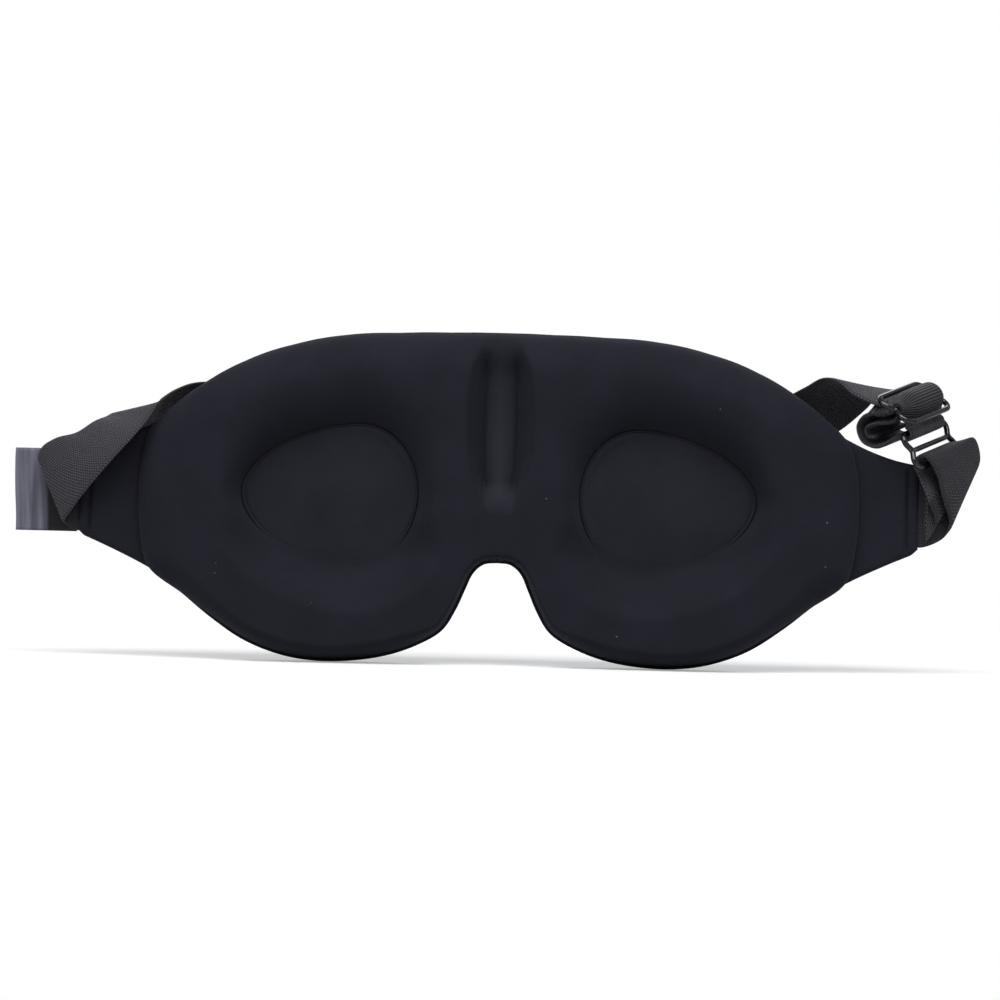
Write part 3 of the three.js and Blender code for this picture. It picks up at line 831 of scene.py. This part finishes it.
def short_loop(webbing):
    """The short loop sewn into the right wing and holding the ring's bottom bar."""
    half = BUCKLE_WEBBING / 2
    out = np.cross(BAR, RING_UP)
    radius = ROUND_BAR + 1.2

    def on_bar(angle):
        turn = math.radians(angle)
        centre = RING_BOTTOM + RING_UP * radius * math.sin(turn) + out * radius * math.cos(turn)
        return (centre - BAR * half, centre + BAR * half)

    stations = [
        ((111, END_Y[0], -11.4), (111, END_Y[0], 8.6)),
        ((114.4, END_Y[1], -11.4), (114.4, END_Y[1], 8.6)),
        ((118.4, END_Y[2], -11.4), (119, END_Y[2], 8.6)),
        ((124.2, -5.6, -8.6), (129.4, -3.2, 9.2)),
        ((125.6, -7.6, -5.2), (133.2, -1.6, 11.2)),
        ((122.8, -12.2, 2.6), (134.4, 0.2, 14.4)),
        ((121, -13.6, 8.6), (132.6, 1.2, 19.6)),
        *[on_bar(angle) for angle in (50, 100, 150, 200)],
        ((118.8, -12.8, 1.6), (129.6, 2.2, 12.4)),
        ((121.4, -9.4, -4.6), (130.2, -0.4, 9.6)),
        ((120, -8.8, -8.4), (124.4, -5.2, 8.6)),
        ((118.4, -9.1, -10.4), (119, -9, 8)),
    ]
    near, far = edge_lines(stations)
    station = np.arange(len(near)) / STRAP_STEPS
    dark = (station > 3) & (station <= 11)  # from the crease to the ring and back, the side facing out gets painted shade
    piece, _ = band("webbing_short_loop", near, far, outer=np.where(dark, -1, 1))
    finish_piece(piece, webbing, "webbing", "short_loop")
    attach(piece, "right_wing")


# ---- buckles and label


def wire_tube(centres, outwards, radius, name, ends):
    """Round wire along a line in the buckle's own plane, where y is out of the plane."""
    angle = circle(18)
    rows = [c + radius * (np.cos(angle)[:, None] * o + np.sin(angle)[:, None] * np.array([0, 1, 0]))
            for c, o in zip(centres, outwards)]
    return tube(name, rows, ends=ends)


def buckle_line(pitch):
    """Centre line of a buckle's loop, with round corners, pinched where its middle bar joins."""
    half_wide, half_tall, corner = BUCKLE_WIDE / 2, pitch, pitch * BUCKLE_CORNER
    centres = []
    for side_x, side_z, first in ((1, 1, 0), (-1, 1, 90), (-1, -1, 180), (1, -1, 270)):
        for turn in np.radians(np.linspace(first, first + 90, 9)):
            place = np.array([side_x * (half_wide - corner), 0, side_z * (half_tall - corner)])
            centres.append(place + corner * np.array([math.cos(turn), 0, math.sin(turn)]))
    centres = even([*centres, centres[0]], 161)[:-1]
    pinch = 1.5 * bell(centres[:, 2], 1.7) * (np.abs(centres[:, 0]) > half_wide - corner)
    centres[:, 0] -= np.sign(centres[:, 0]) * pinch
    return centres


def buckle(name, centre, up, pitch, body, wire):
    """An 8-shaped wire buckle. body is the name of its rigid body and of its CAD node."""
    centres = buckle_line(pitch)
    ahead = np.roll(centres, -1, axis=0) - np.roll(centres, 1, axis=0)
    loop = wire_tube(centres, unit(np.cross(ahead, [0, 1, 0])), WIRE_R, name, ends=False)
    reach = BUCKLE_WIDE / 2 - 1.6
    ends = np.linspace(-reach, reach, 9)
    bar = wire_tube([np.array([x, 0, 0]) for x in ends], [np.array([0, 0, 1])] * len(ends), WIRE_R * 0.94,
                    "middle_bar", ends=True)
    join = loop.modifiers.new("bar", "BOOLEAN")
    join.operation = "UNION"
    join.solver = "EXACT"
    join.object = bar
    apply_modifiers(loop)
    bpy.data.objects.remove(bar)
    out = np.cross(up, BAR)
    placed = Matrix((BAR, out, up)).transposed().to_4x4()
    placed.translation = Vector((centre + BAR * BUCKLE_SHIFT) * MM)
    loop.data.transform(placed)
    rest = loop.data.attributes.get("cloth") or loop.data.attributes.new("cloth", "FLOAT_VECTOR", "POINT")
    rest.data.foreach_set("vector", np.array([v.co / MM for v in loop.data.vertices], np.float32).ravel())
    finish_piece(loop, wire, "coated_wire", body)
    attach(loop, body)


def label(satin):
    """Folded satin label sewn in at the left wing's end, with a soft rounded fold and no lettering."""
    root = LABEL_HIGH[0]
    tip = LABEL_LOW[0] + 1
    low, high = LABEL_LOW[2], LABEL_HIGH[2]
    path = spline([(root, -4.6), (root - 7, -3.7), (tip, -3.2), (tip - 1, -2.2), (tip, -1.2),
                   (root - 7, -1.8), (root, -3.6)], 14)
    shares = np.linspace(0, 1, 25)
    thickness = 0.4
    along = unit(np.gradient(path, axis=0))
    normal = stack(-along[:, 1], along[:, 0])
    rows, cloth = [], []
    for (x, y), (nx, ny), v in zip(path, normal, lengths(path)):
        z = low + (high - low) * shares
        reach = (root - x) / (root - tip)
        wave = 0.35 * reach * np.sin(shares * 5.2 + 0.6) + 0.2 * reach * np.sin(shares * 11)
        ripple = 0.25 * reach * np.cos(shares * 4)
        front, back = [stack(x + nx * half + ripple, y + ny * half + wave, z)
                       for half in (thickness / 2, -thickness / 2)]
        rows.append(np.vstack([front, back[::-1]]))
        wide = np.concatenate([shares, shares[::-1]]) * (high - low)
        cloth.append(stack(wide, v, 0))
    piece = tube("satin_label", rows, cloth)
    finish_piece(piece, satin, "label_satin", "label")
    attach(piece, "label")


# ---- materials


class Graph:
    """A small helper for building the nodes of a material or a world."""

    def __init__(self, name, kind="materials"):
        self.owner = getattr(bpy.data, kind).new(name)
        self.owner.use_nodes = True
        self.tree = self.owner.node_tree
        self.tree.nodes.clear()

    def add(self, kind, inputs=None, **settings):
        made = self.tree.nodes.new("ShaderNode" + kind)
        for key, value in settings.items():
            setattr(made, key, value)
        for key, value in (inputs or {}).items():
            if isinstance(value, bpy.types.NodeSocket):
                self.tree.links.new(value, made.inputs[key])
            else:
                made.inputs[key].default_value = value
        return made

    def math(self, operation, a, b=0.0):
        return self.add("Math", {0: a, 1: b}, operation=operation).outputs[0]

    def plus(self, a, b):
        return self.math("ADD", a, b)

    def times(self, a, b):
        return self.math("MULTIPLY", a, b)

    def cloth(self):
        """Place on the flat material, in mm."""
        return self.add("Attribute", attribute_name="cloth").outputs["Vector"]

    def split(self, vector):
        return self.add("SeparateXYZ", {0: vector}).outputs

    def noise(self, vector, size, detail=2.0):
        """Noise with features about size mm across."""
        return self.add("TexNoise", {"Vector": vector, "Scale": 1 / size, "Detail": detail}).outputs["Fac"]

    def ramp(self, value, low, high):
        return self.add("MapRange", {"Value": value, "From Min": low, "From Max": high},
                        interpolation_type="SMOOTHSTEP").outputs["Result"]

    def wave(self, value, pitch, shift=0.0):
        """A sine from 0 to 1 along value, one cycle each pitch."""
        turns = self.plus(self.times(value, 2 * math.pi / pitch), shift)
        return self.plus(self.times(self.math("SINE", turns), 0.5), 0.5)

    def mix(self, share, a, b):
        return self.add("Mix", {0: share, 6: a, 7: b}, data_type="RGBA").outputs[2]

    def surface(self, height, depth, **inputs):
        bump = self.add("Bump", {"Height": height, "Distance": depth * MM, "Strength": 1.0}).outputs["Normal"]
        names = {key.replace("_", " ").title().replace("Ior", "IOR"): value for key, value in inputs.items()}
        shader = self.add("BsdfPrincipled", {**names, "Normal": bump})
        self.add("OutputMaterial", {0: shader.outputs[0]})
        return self.owner


def colour(red, green, blue):
    """Linear colour from display values of 0 to 255."""
    return (*[((c / 255 + 0.055) / 1.055) ** 2.4 for c in (red, green, blue)], 1.0)


def specks(graph, place, spacing, size):
    """1 at scattered small specks, 0 elsewhere."""
    cells = graph.add("TexVoronoi", {"Vector": place, "Scale": 1 / spacing, "Randomness": 1.0})
    near = graph.math("LESS_THAN", graph.times(cells.outputs["Distance"], spacing), size)
    chosen = graph.math("GREATER_THAN", graph.split(cells.outputs["Color"])[0], 0.62)
    return graph.times(near, chosen)


def knit_material(name, dark, light, groove_highlight=0.0):
    """Fine jersey: rows of small loops, mottling, fuzz and a few specks of lint.

    The last argument paints a highlight on the nose groove's floor.
    """
    g = Graph(name)
    place = g.cloth()
    x, _, z = g.split(place)[:3]
    wales = g.wave(x, 0.62)
    courses = g.wave(z, 0.5, g.times(wales, 2.2))
    loops = g.times(wales, courses)
    fuzz = g.noise(place, 0.7, 3.0)
    mottle = g.ramp(g.noise(place, 16, 3.0), 0.35, 0.65)
    base = g.mix(mottle, colour(*dark), colour(*light))
    base = g.mix(g.times(loops, 0.2), base, colour(46, 46, 54))
    # painted highlight on the nose groove's floor, strongest in its middle and broken up by the fuzz
    width = g.ramp(g.math("ABSOLUTE", x), GROOVE_FLOOR, GROOVE_FLOOR * 0.6)
    length = g.times(g.ramp(z, GROOVE_LOW, 2), g.ramp(z, 44, 10))
    uneven = g.plus(g.times(fuzz, 0.6), 0.7)
    groove_highlight_mask = g.times(g.times(width, length), uneven)
    base = g.mix(g.times(groove_highlight_mask, groove_highlight), base, colour(62, 63, 70))
    base = g.mix(g.times(specks(g, place, 7.0, 0.2), 0.75), base, colour(120, 120, 124))
    rough = g.plus(g.times(fuzz, 0.16), 0.78)
    height = g.plus(g.times(loops, 0.3), fuzz)
    return g.surface(height, 0.13, base_color=base, roughness=rough, sheen_weight=0.07, sheen_roughness=0.5,
                     sheen_tint=colour(190, 195, 215), specular_ior_level=0.15)


def webbing_material(name, cross_share, low, high):
    """Ribbed elastic webbing. cross_share weighs the crosswise ribs against the lengthwise cords."""
    g = Graph(name)
    place = g.cloth()
    u, v = g.split(place)[:2]
    cord_pitch = 0.66
    cords = g.wave(u, cord_pitch)
    row = g.math("FLOOR", g.times(u, 1 / cord_pitch))
    shift = g.times(g.math("MODULO", row, 2.0), math.pi)
    ribs = g.wave(v, 0.72, shift)
    straight = g.wave(v, 0.75)
    woven = g.plus(g.times(cords, 0.45), g.times(ribs, 0.55))
    crosswise = g.times(straight, cross_share)
    height = g.plus(g.times(woven, 1 - cross_share), crosswise)
    fuzz = g.noise(place, 0.35, 3.0)
    tone = g.noise(place, 9, 2.0)
    base = g.mix(g.ramp(height, 0.15, 0.8), colour(*low), colour(*high))
    base = g.mix(g.times(tone, 0.35), base, colour(*low))
    # painted shade: the side with a negative third cloth coordinate is darkened
    inner = g.ramp(g.split(place)[2], 0.3, -0.3)
    base = g.mix(g.times(inner, 0.8), base, colour(30, 30, 35))
    base = g.mix(g.times(specks(g, place, 5.0, 0.13), 0.5), base, colour(150, 150, 152))
    rough = g.plus(g.times(fuzz, 0.2), 0.55)
    bumps = g.plus(height, g.times(fuzz, 0.25))
    return g.surface(bumps, 0.26, base_color=base, roughness=rough, sheen_weight=0.25, sheen_roughness=0.3,
                     sheen_tint=colour(200, 200, 210), specular_ior_level=0.35)


def thread_material():
    """Twisted polyester thread."""
    g = Graph("thread")
    place = g.cloth()
    x, y, z = g.split(place)[:3]
    twist = g.wave(g.plus(g.plus(x, y), z), 0.34)
    fibre = g.noise(place, 0.12, 2.0)
    base = g.mix(twist, colour(9, 9, 11), colour(24, 24, 28))
    rough = g.plus(g.times(fibre, 0.25), 0.4)
    height = g.plus(twist, fibre)
    return g.surface(height, 0.08, base_color=base, roughness=rough, specular_ior_level=0.15)


def foam_material():
    """Open-cell foam."""
    g = Graph("foam")
    place = g.cloth()
    cells = g.add("TexVoronoi", {"Vector": place, "Scale": 1.6}).outputs["Distance"]
    grain = g.noise(place, 2.5, 3.0)
    base = g.mix(g.ramp(cells, 0.1, 0.6), colour(60, 60, 62), colour(34, 34, 36))
    base = g.mix(g.times(grain, 0.3), base, colour(48, 47, 46))
    rough = g.plus(g.times(grain, 0.1), 0.88)
    return g.surface(cells, 0.3, base_color=base, roughness=rough)


def satin_material():
    """Woven satin tape: fine crosswise threads, a soft painted shine in bands and painted shade near its
    seam.
    """
    g = Graph("label_satin")
    place = g.cloth()
    u, v = g.split(place)[:2]
    threads = g.wave(v, 0.3)
    stretched = g.add("CombineXYZ", {0: g.times(u, 0.06), 1: v}).outputs[0]
    bands = g.ramp(g.noise(stretched, 2.2, 3.0), 0.3, 0.7)
    grain = g.noise(place, 0.5, 3.0)
    base = g.mix(bands, colour(82, 81, 94), colour(130, 129, 146))
    base = g.mix(g.times(threads, 0.25), base, colour(36, 36, 42))
    # painted shade on the label's part near its seam, under the strap
    base = g.mix(g.ramp(v, LABEL_SHADED + 1, LABEL_SHADED - 1), base, colour(15, 15, 19))
    rough = g.plus(g.times(grain, 0.2), 0.3)
    height = g.plus(threads, grain)
    return g.surface(height, 0.06, base_color=base, roughness=rough, sheen_weight=0.15, anisotropic=0.5,
                     specular_ior_level=0.35)


def wire_material():
    """Black nickel plating with faint orange peel and rubbed patches."""
    g = Graph("coated_wire")
    place = g.cloth()
    peel = g.noise(place, 0.6, 2.0)
    rubbed = g.ramp(g.noise(place, 3.0, 4.0), 0.56, 0.75)
    base = g.mix(rubbed, colour(44, 44, 48), colour(84, 83, 86))
    rough = g.plus(g.times(rubbed, 0.15), 0.1)
    return g.surface(peel, 0.03, base_color=base, roughness=rough, metallic=0.9, coat_weight=0.8,
                     coat_roughness=0.05)


def floor_material(radius):
    """Pale matt floor that fades into the backdrop and throws little light back on the object."""
    g = Graph("pale_floor")
    place = g.add("NewGeometry").outputs["Position"]
    distance = g.add("VectorMath", {0: place}, operation="LENGTH").outputs["Value"]
    faded = g.ramp(distance, radius * 0.35, radius * 0.95)
    grain = g.noise(place, 0.004, 3.0)
    tint = g.mix(grain, (0.86, 0.86, 0.86, 1), (0.92, 0.92, 0.92, 1))
    paper = g.add("BsdfPrincipled", {"Base Color": tint, "Roughness": 0.9, "Specular IOR Level": 0.1,
                                     "Emission Color": tint, "Emission Strength": 0.35})
    dim = g.add("BsdfDiffuse", {"Color": (0.6, 0.6, 0.6, 1)})
    seen = g.add("LightPath").outputs["Is Camera Ray"]
    sheet = g.add("MixShader", {0: seen, 1: dim.outputs[0], 2: paper.outputs[0]})
    gone = g.add("BsdfTransparent")
    mixed = g.add("MixShader", {0: faded, 1: sheet.outputs[0], 2: gone.outputs[0]})
    g.add("OutputMaterial", {0: mixed.outputs[0]})
    return g.owner


# ---- assembly

KNIT = knit_material("knit_face", (28, 29, 37), (31, 32, 41), groove_highlight=0.3)
KNIT_OUTER = knit_material("knit_outer", (27, 28, 35), (30, 31, 39))
KNIT_PANEL = knit_material("knit_panel", (31, 31, 40), (35, 35, 44))
WEBBING = webbing_material("webbing", 0.0, (25, 25, 29), (77, 76, 84))
WEBBING_OPEN = webbing_material("webbing_opened", 0.8, (14, 14, 16), (72, 71, 75))
THREAD = thread_material()


def build_body():
    """The foam, the two skins and the cup panels."""
    swell = simulate_swell()
    foam = foam_body("foam_padding", 1.35, 96, 28, ring_steps(22), swell)
    finish_piece(foam, foam_material(), "foam", "foam_core_left", "foam_core_right")
    face = thicken(skin_sheet("knit_face_skin", face_y, -1, swell), COVER)
    finish_piece(face, KNIT, "knit", "face_cover_left", "face_cover_right")
    outer = thicken(skin_sheet("knit_outer_skin", outer_y, 1, None), COVER)
    finish_piece(outer, KNIT_OUTER, "knit", "outer_cover_left", "outer_cover_right")
    for piece in (foam, face, outer):
        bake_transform(piece)
    for side, word in SIDES:
        panel = cup_panel(f"cup_panel_{word}", side)
        finish_piece(panel, KNIT_PANEL, "knit", f"eye_cup_floor_{word}")
        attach(panel, f"{word}_half")


def build_wings():
    """Both wings with their seams."""
    for side, word in SIDES:
        for turn, ply in ((-1, "face"), (1, "outer")):
            piece = wing_ply(f"wing_{ply}_ply_{word}", side, turn)
            finish_piece(piece, KNIT if turn < 0 else KNIT_OUTER, "knit", f"wing_{ply}_layer_{word}")
            start, end = [(side * x * MM, 0, 0) for x in WING_BEND]
            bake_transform(piece)
            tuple(start)
            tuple(end)
        lines = []
        for turn in (-1, 1):
            x, y = side * STITCH_X, float(wing_y(STITCH_X)) + turn * (RIM - STITCH_SINK)
            lines.append(((x, y, STITCH_LOW), (x, y, STITCH_HIGH), (0, turn, 0), STITCH_LENGTH))
        row = stitch_rows(f"wing_seam_{word}", lines)
        finish_piece(row, THREAD, "thread", f"wing_stitching_{word}")
        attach(row, f"{word}_wing")


def build_strap():
    """The strap, the short loop, the buckles and the label."""
    along = long_strap(WEBBING)
    adjuster_webbing(WEBBING, WEBBING_OPEN, along)
    short_loop(WEBBING)
    wire = wire_material()
    buckle("wire_slider", SLIDER_CENTRE, SLIDER_UP, BAR_PITCH, "slider", wire)
    buckle("wire_ring", RING_BOTTOM + RING_UP * RING_PITCH, RING_UP, RING_PITCH, "ring", wire)
    label(satin_material())


build_body()
build_wings()
build_strap()

# ---- stage, light and camera

# Name, place, size and watts of each light.
SOFTBOXES = (
    ("softbox_above", (0.0, -0.62, 0.88), (1.1, 0.7), 10.2),
    ("softbox_left", (-0.9, -0.75, 0.35), (0.7, 0.9), 1.2),
    ("softbox_right", (0.95, -0.65, 0.4), (0.6, 0.9), 0.4),
    ("softbox_behind", (0.0, 0.9, 0.6), (1.0, 0.6), 2.5),
)


def area_light(name, place, target, size, power):
    """A rectangular light at a place, aimed at a target."""
    lamp = bpy.data.lights.new(name, "AREA")
    lamp.shape = "RECTANGLE"
    lamp.size, lamp.size_y = size
    lamp.energy = power
    light = bpy.data.objects.new(name, lamp)
    light.location = place
    light.rotation_euler = (Vector(target) - Vector(place)).to_track_quat("-Z", "Y").to_euler()
    add_to_scene(light)


def build_stage():
    """Round pale floor below the object, the softboxes and a white surround."""
    low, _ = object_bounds()
    radius = 0.75
    around = 96
    angles = circle(around)
    level = low.z / MM - 0.1
    rows = [stack(np.cos(angles) * reach, np.sin(angles) * reach, level)
            for reach in radius / MM * np.linspace(0.02, 1, 12)]
    faces = [*grid_faces(len(rows), around), tuple(range(around))]
    floor = make_object("floor", np.vstack(rows), faces)
    floor.data.materials.append(floor_material(radius))

    for name, place, size, watts in SOFTBOXES:
        area_light(name, place, (0, 0, 0), size, watts)

    surround = Graph("studio", "worlds")
    seen = surround.add("Background", {"Color": (1, 1, 1, 1)}).outputs[0]
    fill = surround.add("Background", {"Color": (0.93, 0.96, 1, 1), "Strength": 0.3}).outputs[0]
    direct = surround.add("LightPath").outputs["Is Camera Ray"]
    mixed = surround.add("MixShader", {0: direct, 1: fill, 2: seen}).outputs[0]
    surround.add("OutputWorld", {0: mixed})
    bpy.context.scene.world = surround.owner
    bpy.context.scene.view_settings.view_transform = "Standard"


def build_camera():
    """Looks straight at the face side with a long lens, tilted a little about its own axis."""
    distance, shown_width, roll = 1.1, 0.28, 1.4
    lens = bpy.data.cameras.new("camera")
    lens.sensor_width = 36
    lens.lens = lens.sensor_width * distance / shown_width
    camera = bpy.data.objects.new("camera", lens)
    turned = Matrix.Rotation(math.radians(90), 4, "X") @ Matrix.Rotation(math.radians(roll), 4, "Z")
    camera.matrix_world = Matrix.Translation((0.00035, -distance, -0.0011)) @ turned
    add_to_scene(camera)
    bpy.context.scene.camera = camera


build_stage()
build_camera()
